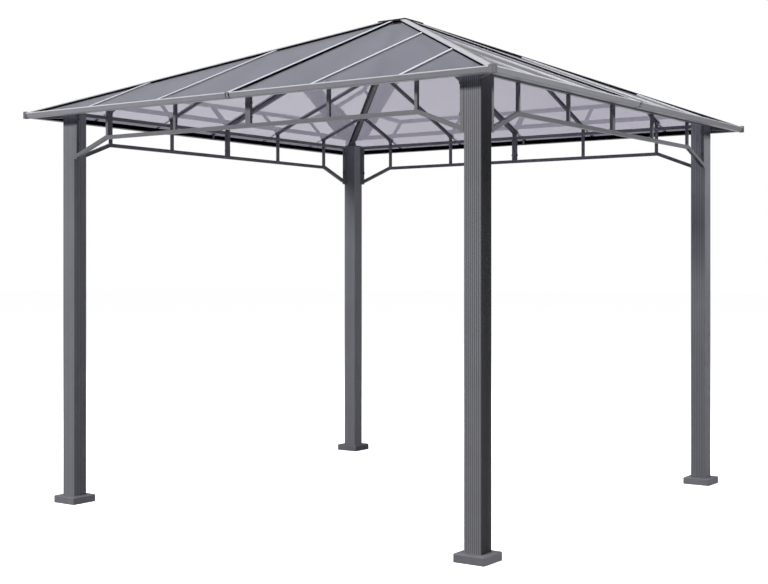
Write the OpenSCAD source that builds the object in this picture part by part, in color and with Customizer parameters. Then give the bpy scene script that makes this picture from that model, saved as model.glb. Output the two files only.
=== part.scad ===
// Square garden gazebo: four fluted posts on base covers, four lattice trusses in
// halves, a pyramid roof of glazed panels on rafters, and an eave fascia all round.
// Millimetres, +Z up, origin on the ground at the centre of the footprint, front at -Y.

/* [Posts] */
// Distance between the centres of neighbouring posts
post_span = 2600; // [2200:10:3200]
// Height of the post tops above the ground
post_h = 2166; // [1850:2:2600]
// Side of the square post tube
post_w = 90; // [78:1:108]
// Wall of the post tube
post_wall = 4; // [3:0.5:6]
// Radius of the long edges of a post
post_edge_r = 4; // [2:0.5:8]
// Distance between neighbouring flutes
flute_pitch = 10.5; // [8:0.5:16]
// Least distance from the centre of a flute to the side of the post
flute_margin = 11; // [10:0.5:20]
// Depth of a flute
flute_depth = 1.2; // [0.6:0.1:1.6]
// Radius of the arc of a flute
flute_r = 5; // [3:0.5:8]

/* [Base covers] */
// Distance that the base cover stands out from the post
base_margin = 35; // [30:1:60]
// Height of the base cover
base_h = 40; // [28:1:70]
// Wall of the base cover
base_wall = 3; // [2:0.5:5]
// Width of the sloped shoulder at the top of the base cover
base_bevel = 4; // [2:0.5:8]
// Radius of the upright edges of the base cover
base_edge_r = 5; // [3:0.5:12]
// Distance that the foot plate under a post stands out from it
foot_margin = 22; // [18:1:24]
// Thickness of the foot plate
foot_t = 6; // [4:1:10]
// Distance from the side of a post out to the centres of the anchor holes
anchor_margin = 10; // [8:0.5:12]
// Diameter of an anchor hole
anchor_d = 9; // [6:0.5:12]

/* [Trusses] */
// Side of the square tube of the chords, the braces and the end uprights
chord_w = 20; // [16:1:26]
// Side of the square tube of the uprights
upright_w = 16; // [12:1:20]
// Distance between the uprights, which is also the width of the roof panels
bay = 500; // [400:5:620]
// Least distance from the last upright to the post
end_bay = 150; // [120:5:250]
// Distance from the top of the posts down to the top of the trusses
truss_drop = 2; // [0:1:8]
// Height of a truss between the outer sides of its chords
truss_h = 174; // [130:2:240]
// Distance that the brace falls below the lower chord at the post
brace_fall = 95; // [60:5:150]

/* [Roof] */
// Distance that the eaves stand out from the centres of the posts
eave = 200; // [150:5:300]
// Slope of the roof panels in degrees
roof_pitch = 21.9; // [16:0.1:28]
// Thickness of the roof panels
panel_t = 6; // [4:0.5:10]
// Gap between the edges of neighbouring panels
panel_gap = 8; // [4:1:12]
// Height of the panels above the inner side of the trusses
roof_rise = 37.3; // [36:0.1:50]
// Width of the rafter in the middle of each side
centre_rafter_w = 22; // [16:1:30]
// Depth of this rafter
centre_rafter_d = 17; // [12:1:30]
// Width of the other rafters
side_rafter_w = 13; // [10:1:20]
// Depth of the other rafters
side_rafter_d = 11; // [8:1:24]
// Width of the hip rafters
hip_rafter_w = 18; // [14:1:26]
// Depth of the hip rafters
hip_rafter_d = 18; // [12:1:24]

/* [Joint covers] */
// Width of the covers over the side joints
side_cover_w = 20; // [14:1:30]
// Height of the covers over the side joints
side_cover_h = 4; // [3:0.5:6]
// Width of the cover over the middle joint
centre_cover_w = 22; // [18:1:40]
// Width of the hip covers
hip_cover_w = 48; // [36:1:64]
// Height of the tall covers, on the middle joints and the hips
tall_cover_h = 8; // [7:0.5:14]
// Thickness of the top plate of the tall covers
cover_plate_t = 2.5; // [2:0.5:4]
// Distance that this top plate overhangs its web on each side
cover_overhang = 3; // [2:0.5:5]

/* [Eaves] */
// Height of the fascia
fascia_h = 28; // [26:1:44]
// Width of the fascia section, from its lip to its inner edge
fascia_w = 44; // [40:1:60]
// Height of the lip of the fascia above the panels
lip_rise = 11.5; // [10:0.5:18]
// Distance that the face of the fascia leans out from bottom to top
fascia_lean = 7; // [4:1:10]
// Gap between the two halves of a fascia
fascia_gap = 26; // [20:1:40]
// Width of the joint piece in this gap
fascia_joint_w = 13; // [10:1:18]
// Length of each leg of the corner connectors
corner_w = 28; // [24:1:40]
// Distance that a corner connector stands above the lip
corner_rise = 9; // [4:0.5:12]

/* [Apex] */
// Distance across the flats of the hub
hub_w = 120; // [96:2:150]
// Distance that the square apex cap stands out from the hub
cap_margin = 35; // [24:1:60]
// Height of the rim of the apex cap
cap_rim = 10; // [8:1:22]
// Rise of the apex cap from its rim to its top
cap_rise = 14; // [10:1:30]
// Side of the flat top of the apex cap
cap_top_w = 58; // [40:2:80]
// Wall of the apex cap
cap_wall = 3; // [2:0.5:5]

/* [Clearances] */
// Clearance between pieces that seat on each other
fit = 0.3; // [0.2:0.1:0.5]

/* [Hidden] */
$fn = 48;

dark = [0.19, 0.20, 0.22];
grey = [0.42, 0.43, 0.45];
pale = [0.62, 0.64, 0.68];
smoke = [0.55, 0.58, 0.63];

// Sides and corners by quarter turns: front, right, back, left, and the corner at the
// left end of each of these sides.
FRONT = 0;
RIGHT = 1;
BACK = 2;
LEFT = 3;

post_c = post_span / 2;
post_in = post_c - post_w / 2;
flutes = 2 * floor((post_w / 2 - flute_margin) / flute_pitch) + 1;
base_w = post_w + 2 * base_margin;
foot_w = post_w + 2 * foot_margin;
foot_r = 6;
anchor_pitch = post_w + 2 * anchor_margin;
truss_out = post_c + post_w / 2;
truss_in = truss_out - chord_w;
// Whole bays from the middle of a side to the last upright before the post
bays = floor((post_in - end_bay) / bay);
chord_top = post_h - truss_drop;
lower_z = chord_top - truss_h + chord_w / 2;
brace_z = lower_z - brace_fall;

roof_w = post_span + 2 * eave;
slope = tan(roof_pitch);
hip_slope = slope / sqrt(2);
panel_v = panel_t / cos(roof_pitch);
fit_v = fit / cos(roof_pitch);
// Height at which the top faces of the four roof planes would meet
apex_z = chord_top + roof_rise + panel_v + truss_in * slope;
// Top faces of the panels at a distance r from the centre towards an eave, and at a
// distance t from the centre along a hip, and the top of the rafters under the panels
function panel_z(r) = apex_z - r * slope;
function hip_z(t) = apex_z - t * hip_slope;
function rafter_z(r) = panel_z(r) - panel_v - fit_v;

// Lips of the fascia: their distance inside the width of the roof, their thickness, the
// height of their upright face, the flat on their top and the fall behind this flat
lip_gap = 1.5;
lip_t = 12;
lip_face = 6;
lip_flat = 5;
lip_fall = 4;
fascia_chamfer = 3;
lip_r = roof_w / 2 - lip_gap;
lip_z = panel_z(roof_w / 2) + lip_rise;
fascia_z = lip_z - fascia_h;
fascia_in = lip_r - fascia_w;
panel_out = lip_r - lip_t;
corner_in = roof_w / 2 - corner_w;
corner_edge_r = 14;
web_inset = 2 * cover_overhang;

// The panels keep clear of the hub, and the cap of the panels
hub_r = hub_w / 2;
hub_sides = 8;
hub_drop = 10;
hub_gap = 2;
panel_hub_gap = 6;
panel_in = hub_r + panel_hub_gap;
cap_lift = 6;
cap_w = hub_w + 2 * cap_margin;
cap_z = panel_z(cap_w / 2) + cap_lift;
cap_top = cap_z + cap_rim + cap_rise;
boss_d = 28;

// How far solids that make up one piece run into each other
weld = 0.01;

bracket_t = 4;
bracket_w = post_w - 6;
cheek_t = 4;
cheek_h = 20;
cheek_l = bracket_w - 16;
bracket_bolt_r = 4;
bracket_head_d = 13;
bracket_head_h = 5;

// Turns children drawn on the front side, or on the front left corner, to another one
module turned(side) {
    rotate([0, 0, 90 * side]) children();
}

// Turns children drawn along +X so that they lie along the front left hip
module along_hip() {
    rotate([0, 0, -135]) children();
}

// Square with rounded corners
module rounded_square(w, r) {
    square([w - 2 * r, w], center = true);
    square([w, w - 2 * r], center = true);
    for (x = [-1, 1], y = [-1, 1])
        translate([x * (w / 2 - r), y * (w / 2 - r)]) circle(r);
}

// Silhouette drawn in X and Z, cut along both level directions: a mitred square solid
module square_solid(w) {
    intersection() {
        rotate([90, 0, 0]) linear_extrude(w, center = true) children();
        rotate([90, 0, 90]) linear_extrude(w, center = true) children();
    }
}

// A plate on the front roof slope, from n0 to n1 above the top of the panels, with the
// outline of its 2D children seen from above
module slope_plate(n0, n1) {
    intersection() {
        translate([0, 0, apex_z]) rotate([roof_pitch, 0, 0])
            translate([-roof_w, -roof_w, n0]) cube([2 * roof_w, 2 * roof_w, n1 - n0]);
        translate([0, 0, post_h / 2]) linear_extrude(apex_z) children();
    }
}

// Outline of a strip along the front slope, centred on s, from the distance r1 down to
// r2, with its upper end parallel to the hip at r1 where s isn't 0
module slope_strip(s, w, hip_gap, r1, r2) {
    side = sign(s);
    a = abs(s) - w / 2;
    b = abs(s) + w / 2;
    if (side == 0)
        polygon([[-w / 2, -r1], [w / 2, -r1], [w / 2, -r2], [-w / 2, -r2]]);
    else
        polygon([[side * a, -a - hip_gap], [side * b, -b - hip_gap],
                 [side * b, -r2], [side * a, -r2]]);
}

// Outline of one half of a strip along the front left hip
module hip_half(w, t1, t2) {
    a = t1 / sqrt(2);
    b = t2 / sqrt(2);
    d = w / 2 / sqrt(2);
    polygon([[-a, -a], [-b, -b], [-b + d, -b - d], [-a + d, -a - d]]);
}

// Both halves of a hip piece, from the one that lies on the front slope
module both_slopes() {
    children();
    mirror([1, -1, 0]) children();
}

module post() {
    tube_h = post_h - foot_t - fit;
    color(dark)
    translate([-post_c, -post_c, foot_t + fit]) difference() {
        linear_extrude(tube_h) difference() {
            rounded_square(post_w, post_edge_r);
            for (face = [0:3], i = [0:flutes - 1])
                rotate(90 * face)
                    translate([(i - (flutes - 1) / 2) * flute_pitch,
                               -post_w / 2 - flute_r + flute_depth])
                        circle(flute_r);
        }
        translate([0, 0, tube_h / 2])
            cube([post_w - 2 * post_wall, post_w - 2 * post_wall,
                  tube_h - 2 * post_wall], center = true);
    }
}

// Foot plate with its anchor holes, and the cover that hides it
module base() {
    inner_w = base_w - 2 * base_wall;
    color(dark)
    translate([-post_c, -post_c, 0]) {
        difference() {
            linear_extrude(foot_t) rounded_square(foot_w, foot_r);
            for (x = [-1, 1], y = [-1, 1])
                translate([x * anchor_pitch / 2, y * anchor_pitch / 2, -1])
                    cylinder(d = anchor_d, h = foot_t + 2);
        }
        difference() {
            intersection() {
                square_solid(base_w)
                    polygon([[-base_w / 2, 0], [base_w / 2, 0],
                             [base_w / 2, base_h - base_bevel],
                             [base_w / 2 - base_bevel, base_h],
                             [base_bevel - base_w / 2, base_h],
                             [-base_w / 2, base_h - base_bevel]]);
                linear_extrude(base_h) rounded_square(base_w, base_edge_r);
            }
            translate([-inner_w / 2, -inner_w / 2, -1])
                cube([inner_w, inner_w, base_h - base_bevel - base_wall + 1]);
            translate([0, 0, base_h / 2])
                linear_extrude(base_h) rounded_square(post_w + 2 * fit, post_edge_r);
        }
    }
}

// Upright tube of a truss, centred at the distance s from the middle, from z1 up to z2
module truss_upright(s, w, z1, z2) {
    translate([s - w / 2, -truss_out + (chord_w - w) / 2, z1]) cube([w, w, z2 - z1]);
}

// Tube of a truss between the heights za at the distance a and zb at b
module truss_tube(a, za, b, zb) {
    v = chord_w / 2 * sqrt(1 + pow((zb - za) / (b - a), 2));
    translate([0, -truss_in, 0]) rotate([90, 0, 0]) linear_extrude(chord_w)
        polygon([[a, za - v], [b, zb - v], [b, zb + v], [a, za + v]]);
}

// Half truss on the front side, from the middle to the post on the right: tubes welded
// end to face, with the end upright along the post
module truss_half() {
    foot = post_in - fit;
    end = foot - chord_w - fit;
    bend = bays * bay + upright_w / 2 + fit;
    half = chord_w / 2;
    fall = brace_fall / (foot - bend);
    low = lower_z + half + fit;
    high = chord_top - chord_w - fit;
    color(dark) {
        truss_tube(fit, chord_top - half, end, chord_top - half);
        truss_tube(fit, lower_z, bend - fit, lower_z);
        truss_tube(bend, lower_z, end, lower_z - (end - bend) * fall);
        truss_upright(fit + upright_w / 2, upright_w, low, high);
        for (i = [1:bays])
            truss_upright(i * bay, upright_w, low, high);
        truss_upright(foot - half, chord_w, brace_z - half, chord_top);
    }
}

// Half truss on the front side, from the middle to the post on the left
module truss_half_left() {
    mirror([1, 0, 0]) truss_half();
}

// Hip rafter, with a foot between the cheeks of the bracket and a tail that carries the
// corner of the eaves
module hip_rafter() {
    top_n = -panel_t - fit;
    w = hip_rafter_w;
    depth_v = hip_rafter_d * sqrt(1 + hip_slope * hip_slope);
    drop = panel_v + fit_v + w / 2 * hip_slope + depth_v;
    seat_z = post_h + bracket_t + 2 * fit;
    seat_t = post_c * sqrt(2) - cheek_l / 2;
    start_t = hub_r + fit;
    post_t = post_c * sqrt(2) + post_w / sqrt(2) + 1;
    end_t = (fascia_in - fit) * sqrt(2) - w / 2;
    tail_z = fascia_z + fascia_chamfer;
    bolt_z = seat_z + cheek_h / 2;
    color(dark) difference() {
        intersection() {
            both_slopes() slope_plate(top_n - eave, top_n)
                hip_half(w, start_t - 1, end_t + 1);
            along_hip() rotate([90, 0, 0]) linear_extrude(w, center = true)
                polygon([[start_t, hip_z(start_t) - drop], [seat_t, hip_z(seat_t) - drop],
                         [seat_t, seat_z], [post_t, seat_z], [post_t, tail_z],
                         [end_t, tail_z], [end_t, hip_z(end_t)],
                         [start_t, hip_z(start_t)]]);
        }
        along_hip() translate([post_c * sqrt(2), 0, bolt_z]) rotate([90, 0, 0])
            cylinder(r = bracket_bolt_r + fit, h = w + 2, center = true);
    }
}

// The rafters of the front slope, each with a foot on the trusses
module rafters() {
    hip_gap = (hip_rafter_w / 2) * sqrt(2) + fit * 2;
    seat_z = chord_top + fit;
    start = hub_r + fit;
    color(dark) for (i = [-bays:bays]) {
        w = i == 0 ? centre_rafter_w : side_rafter_w;
        depth_v = (i == 0 ? centre_rafter_d : side_rafter_d) / cos(roof_pitch);
        intersection() {
            translate([0, 0, seat_z]) linear_extrude(apex_z - seat_z)
                slope_strip(i * bay, w, hip_gap, start, truss_out);
            rotate([90, 0, 90]) linear_extrude(roof_w, center = true)
                polygon([[-start, rafter_z(start)], [-truss_out, rafter_z(truss_out)],
                         [-truss_out, seat_z], [-truss_in, seat_z],
                         [-truss_in, rafter_z(truss_in) - depth_v],
                         [-start, rafter_z(start) - depth_v]]);
        }
    }
}

// The panels of the front slope, half of them on each side of the middle joint
module roof_panels() {
    edge = panel_gap / 2;
    hip_gap = edge * sqrt(2);
    tip = corner_in - edge;
    color(smoke)
    for (side = [0, 1]) mirror([side, 0, 0]) slope_plate(-panel_t, 0) {
        for (i = [0:bays - 1]) {
            a = i * bay + edge;
            b = (i + 1) * bay - edge;
            polygon([[a, -panel_out], [b, -panel_out], [b, -b - hip_gap],
                     [max(a, panel_in - hip_gap), -max(a + hip_gap, panel_in)],
                     [a, -max(a + hip_gap, panel_in)]]);
        }
        polygon([[bays * bay + edge, -panel_out], [tip, -panel_out], [tip, -tip - hip_gap],
                 [bays * bay + edge, -bays * bay - edge - hip_gap]]);
    }
}

module joint_covers() {
    hip_gap = (hip_cover_w / 2) * sqrt(2) + fit * 2;
    plate_n = tall_cover_h - cover_plate_t;
    color(pale) {
        for (side = [-1, 1], i = [1:bays])
            slope_plate(fit, side_cover_h)
                slope_strip(side * i * bay, side_cover_w, hip_gap, 0, panel_out);
        union() {
            slope_plate(fit, plate_n + weld)
                slope_strip(0, centre_cover_w - web_inset, 0, cap_w / 2 + fit, panel_out);
            slope_plate(plate_n, tall_cover_h)
                slope_strip(0, centre_cover_w, 0, cap_w / 2 + fit, panel_out);
        }
    }
}

module hip_cover() {
    plate_n = tall_cover_h - cover_plate_t;
    t1 = cap_w / sqrt(2) - hip_cover_w / 2;
    t2 = (corner_in - fit) * sqrt(2);
    color(grey) both_slopes() {
        slope_plate(fit, plate_n + weld) hip_outline(hip_cover_w - web_inset, t1, t2);
        slope_plate(plate_n, tall_cover_h) hip_outline(hip_cover_w, t1, t2);
    }
}

// Half of the outline of a hip cover, trimmed round the apex cap and inside the lips
module hip_outline(w, t1, t2) {
    difference() {
        intersection() {
            hip_half(w, t1, t2);
            square(2 * panel_out, center = true);
        }
        square(cap_w + 2 * fit, center = true);
    }
}

// Section of the fascia, with the distance from the centre as negative X and the height
// as Y: lip, leaning face, closed underside, and the shelf that carries the panels. The
// lip and face stand out by the distance proud.
module fascia_section(proud = 0) {
    under = panel_v + fit_v;
    slot = panel_out + fit;
    out = lip_r + proud;
    polygon([[-out, lip_z], [-out, lip_z - lip_face],
             [-out + lip_gap, lip_z - lip_face - lip_gap],
             [-out + fascia_lean, fascia_z + fascia_chamfer],
             [-out + fascia_lean + fascia_chamfer, fascia_z],
             [-fascia_in - fascia_chamfer, fascia_z],
             [-fascia_in, fascia_z + fascia_chamfer],
             [-fascia_in, panel_z(fascia_in) - under], [-slot, panel_z(slot) - under],
             [-slot, lip_z - lip_fall], [-lip_r + lip_flat, lip_z]]);
}

// Both halves of a fascia, mitred at the corners
module fascia() {
    from = fascia_gap / 2;
    to = corner_in - fit;
    mitre = fit * sqrt(2) / 2;
    color(grey)
    for (side = [0, 1]) mirror([side, 0, 0]) intersection() {
        translate([from, 0, 0]) rotate([90, 0, 90]) linear_extrude(to - from) fascia_section();
        translate([0, 0, fascia_z - 1]) linear_extrude(fascia_h + 2)
            polygon([[from, -from - mitre], [to, -to - mitre], [to, -roof_w], [from, -roof_w]]);
    }
}

module fascia_joints() {
    color(grey)
    for (side = [FRONT:LEFT]) turned(side)
        translate([-fascia_joint_w / 2, 0, 0]) rotate([90, 0, 90])
            linear_extrude(fascia_joint_w) fascia_section(lip_gap);
}

// Blocks with a rounded outer edge and a domed top
module corner_connectors() {
    low = fascia_z - fascia_chamfer;
    high = lip_z + corner_rise;
    mid = roof_w / 2 - corner_w / 2;
    dome_r = corner_w * 1.1;
    color(grey)
    for (side = [FRONT:LEFT]) turned(side)
        intersection() {
            translate([-mid, -mid, low]) linear_extrude(high - low)
                intersection() {
                    translate([corner_edge_r, corner_edge_r])
                        rounded_square(corner_w + 2 * corner_edge_r, corner_edge_r);
                    square(corner_w, center = true);
                }
            translate([-mid, -mid, high - dome_r]) union() {
                sphere(dome_r);
                translate([0, 0, -2 * dome_r]) cylinder(r = dome_r, h = 2 * dome_r);
            }
        }
}

module post_brackets() {
    w = hip_rafter_w / 2 + fit;
    top = post_h + fit;
    bolt_z = post_h + bracket_t + 2 * fit + cheek_h / 2;
    color(dark)
    for (side = [FRONT:LEFT]) turned(side) {
        translate([-post_c, -post_c, top]) {
            translate([0, 0, bracket_t / 2])
                cube([bracket_w, bracket_w, bracket_t], center = true);
            along_hip() for (k = [0, 1]) mirror([0, k, 0])
                translate([-cheek_l / 2, w, 0]) cube([cheek_l, cheek_t, bracket_t + cheek_h]);
        }
        along_hip() translate([post_c * sqrt(2), 0, bolt_z]) rotate([90, 0, 0]) {
            cylinder(r = bracket_bolt_r, h = 2 * (w + cheek_t), center = true);
            for (k = [0, 1]) mirror([0, 0, k])
                translate([0, 0, w + cheek_t - weld])
                    cylinder(d = bracket_head_d, h = bracket_head_h, $fn = 6);
        }
    }
}

module apex_hub() {
    top = panel_z(panel_in) - panel_v - hub_gap;
    low = rafter_z(hub_r) - centre_rafter_d / cos(roof_pitch) - hub_drop;
    boss_top = cap_top - cap_wall - fit;
    turn = 180 / hub_sides;
    color(dark) {
        translate([0, 0, low]) rotate([0, 0, turn])
            cylinder(d = hub_w / cos(turn), h = top - low, $fn = hub_sides);
        translate([0, 0, top - weld]) cylinder(d = boss_d, h = boss_top - top + weld);
    }
}

module apex_cap() {
    half = cap_w / 2;
    inner = half - cap_wall;
    color(dark) difference() {
        square_solid(cap_w)
            polygon([[-half, cap_z], [half, cap_z], [half, cap_z + cap_rim],
                     [cap_top_w / 2, cap_top], [-cap_top_w / 2, cap_top],
                     [-half, cap_z + cap_rim]]);
        square_solid(cap_w)
            polygon([[-inner, cap_z - 1], [inner, cap_z - 1],
                     [inner, cap_z + cap_rim - cap_wall],
                     [cap_top_w / 2, cap_top - cap_wall],
                     [-cap_top_w / 2, cap_top - cap_wall],
                     [-inner, cap_z + cap_rim - cap_wall]]);
    }
}

turned(FRONT) post();  // post_front_left
turned(RIGHT) post();  // post_front_right
turned(BACK) post();  // post_back_right
turned(LEFT) post();  // post_back_left
turned(FRONT) base();  // base_front_left
turned(RIGHT) base();  // base_front_right
turned(BACK) base();  // base_back_right
turned(LEFT) base();  // base_back_left
turned(FRONT) truss_half_left();  // truss_front_left
turned(FRONT) truss_half();  // truss_front_right
turned(RIGHT) truss_half_left();  // truss_right_front
turned(RIGHT) truss_half();  // truss_right_back
turned(BACK) truss_half_left();  // truss_back_right
turned(BACK) truss_half();  // truss_back_left
turned(LEFT) truss_half_left();  // truss_left_back
turned(LEFT) truss_half();  // truss_left_front
turned(FRONT) hip_rafter();  // hip_rafter_front_left
turned(RIGHT) hip_rafter();  // hip_rafter_front_right
turned(BACK) hip_rafter();  // hip_rafter_back_right
turned(LEFT) hip_rafter();  // hip_rafter_back_left
turned(FRONT) rafters();  // rafters_front
turned(RIGHT) rafters();  // rafters_right
turned(BACK) rafters();  // rafters_back
turned(LEFT) rafters();  // rafters_left
turned(FRONT) roof_panels();  // roof_panels_front
turned(RIGHT) roof_panels();  // roof_panels_right
turned(BACK) roof_panels();  // roof_panels_back
turned(LEFT) roof_panels();  // roof_panels_left
turned(FRONT) joint_covers();  // joint_covers_front
turned(RIGHT) joint_covers();  // joint_covers_right
turned(BACK) joint_covers();  // joint_covers_back
turned(LEFT) joint_covers();  // joint_covers_left
turned(FRONT) hip_cover();  // hip_cover_front_left
turned(RIGHT) hip_cover();  // hip_cover_front_right
turned(BACK) hip_cover();  // hip_cover_back_right
turned(LEFT) hip_cover();  // hip_cover_back_left
turned(FRONT) fascia();  // fascia_front
turned(RIGHT) fascia();  // fascia_right
turned(BACK) fascia();  // fascia_back
turned(LEFT) fascia();  // fascia_left
post_brackets();
corner_connectors();
fascia_joints();
apex_hub();
apex_cap();
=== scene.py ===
"""Looks of a square garden gazebo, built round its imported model: metres, +Z up, front at -Y."""

import logging
import math
from dataclasses import dataclass, field
from enum import Enum

import bmesh
import bpy
from mathutils import Matrix, Vector, noise


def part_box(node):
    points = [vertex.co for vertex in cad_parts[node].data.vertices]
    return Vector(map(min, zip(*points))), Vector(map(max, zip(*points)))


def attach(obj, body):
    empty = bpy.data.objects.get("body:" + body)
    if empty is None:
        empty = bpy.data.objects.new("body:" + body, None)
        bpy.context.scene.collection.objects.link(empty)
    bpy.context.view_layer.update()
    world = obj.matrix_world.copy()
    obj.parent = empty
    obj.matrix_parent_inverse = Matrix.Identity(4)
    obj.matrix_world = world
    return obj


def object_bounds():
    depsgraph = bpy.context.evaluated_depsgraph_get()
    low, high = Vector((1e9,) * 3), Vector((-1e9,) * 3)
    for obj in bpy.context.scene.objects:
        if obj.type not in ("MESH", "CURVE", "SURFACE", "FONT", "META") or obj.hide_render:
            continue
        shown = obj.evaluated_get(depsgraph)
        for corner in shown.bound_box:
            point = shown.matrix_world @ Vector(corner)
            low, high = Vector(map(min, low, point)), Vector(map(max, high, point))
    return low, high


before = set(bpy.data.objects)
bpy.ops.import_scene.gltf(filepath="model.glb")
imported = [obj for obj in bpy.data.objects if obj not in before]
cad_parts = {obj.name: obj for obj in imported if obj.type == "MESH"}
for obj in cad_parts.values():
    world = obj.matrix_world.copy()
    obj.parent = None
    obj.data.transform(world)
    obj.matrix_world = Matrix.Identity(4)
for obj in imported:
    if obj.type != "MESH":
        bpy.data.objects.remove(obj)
CAD_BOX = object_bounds()

BODY = "root"
MM = 0.001
LOG = logging.getLogger("gazebo")

Colour = tuple[float, float, float]


class Quarter(Enum):
    """A place round the gazebo, by its quarter turns from the first one."""

    @property
    def label(self) -> str:
        """Name of the place, as the nodes' names give it."""
        return self.name.lower()

    @property
    def turn(self) -> Matrix:
        """Rotation that carries a shape drawn at the first place to this one."""
        return Matrix.Rotation(math.pi / 2 * self.value, 4, "Z")


class Side(Quarter):
    """A side of the gazebo."""

    FRONT = 0
    RIGHT = 1
    BACK = 2
    LEFT = 3


class Corner(Quarter):
    """A corner of the gazebo."""

    FRONT_LEFT = 0
    FRONT_RIGHT = 1
    BACK_RIGHT = 2
    BACK_LEFT = 3


# ---------------- sizes


@dataclass(frozen=True)
class Layout:
    """Sizes that several sub-assemblies share, most of them read from the frame."""

    pitch: float = math.radians(21.9)
    bay: float = 0.5
    bays: int = 2
    post_w: float = 0.090
    fit: float = 0.3 * MM

    @property
    def slope(self) -> float:
        """Fall of a roof slope for each metre outwards."""
        return math.tan(self.pitch)

    @property
    def roof_r(self) -> float:
        """Half the width of the whole roof."""
        return CAD_BOX[1][0]

    @property
    def panel_in(self) -> float:
        """Distance from the centre to the upper edge of the panels."""
        return -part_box("roof_panels_front")[1].y

    @property
    def panel_out(self) -> float:
        """Distance from the centre to the lower edge of the panels."""
        return -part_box("roof_panels_front")[0].y

    @property
    def apex_z(self) -> float:
        """Height at which the four slopes' top faces would meet."""
        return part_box("roof_panels_front")[1].z + self.panel_in * self.slope

    @property
    def post_c(self) -> float:
        """Distance from the centre of the gazebo to a post's centre, along X and Y."""
        low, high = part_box("post_back_right")
        return (low.x + high.x) / 2

    @property
    def cap_r(self) -> float:
        """Half the width of the apex cap."""
        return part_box("apex_cap")[1].x

    def slope_z(self, out: float, above: float = 0.0) -> float:
        """Height of a point on a slope.

        Args:
            out: Distance from the centre towards the eave.
            above: Distance above the slope's top face, square to it.

        Returns:
            The height of the point.
        """
        return self.apex_z - out * self.slope + above / math.cos(self.pitch)


LAYOUT = Layout()


# ---------------- meshes


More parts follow.
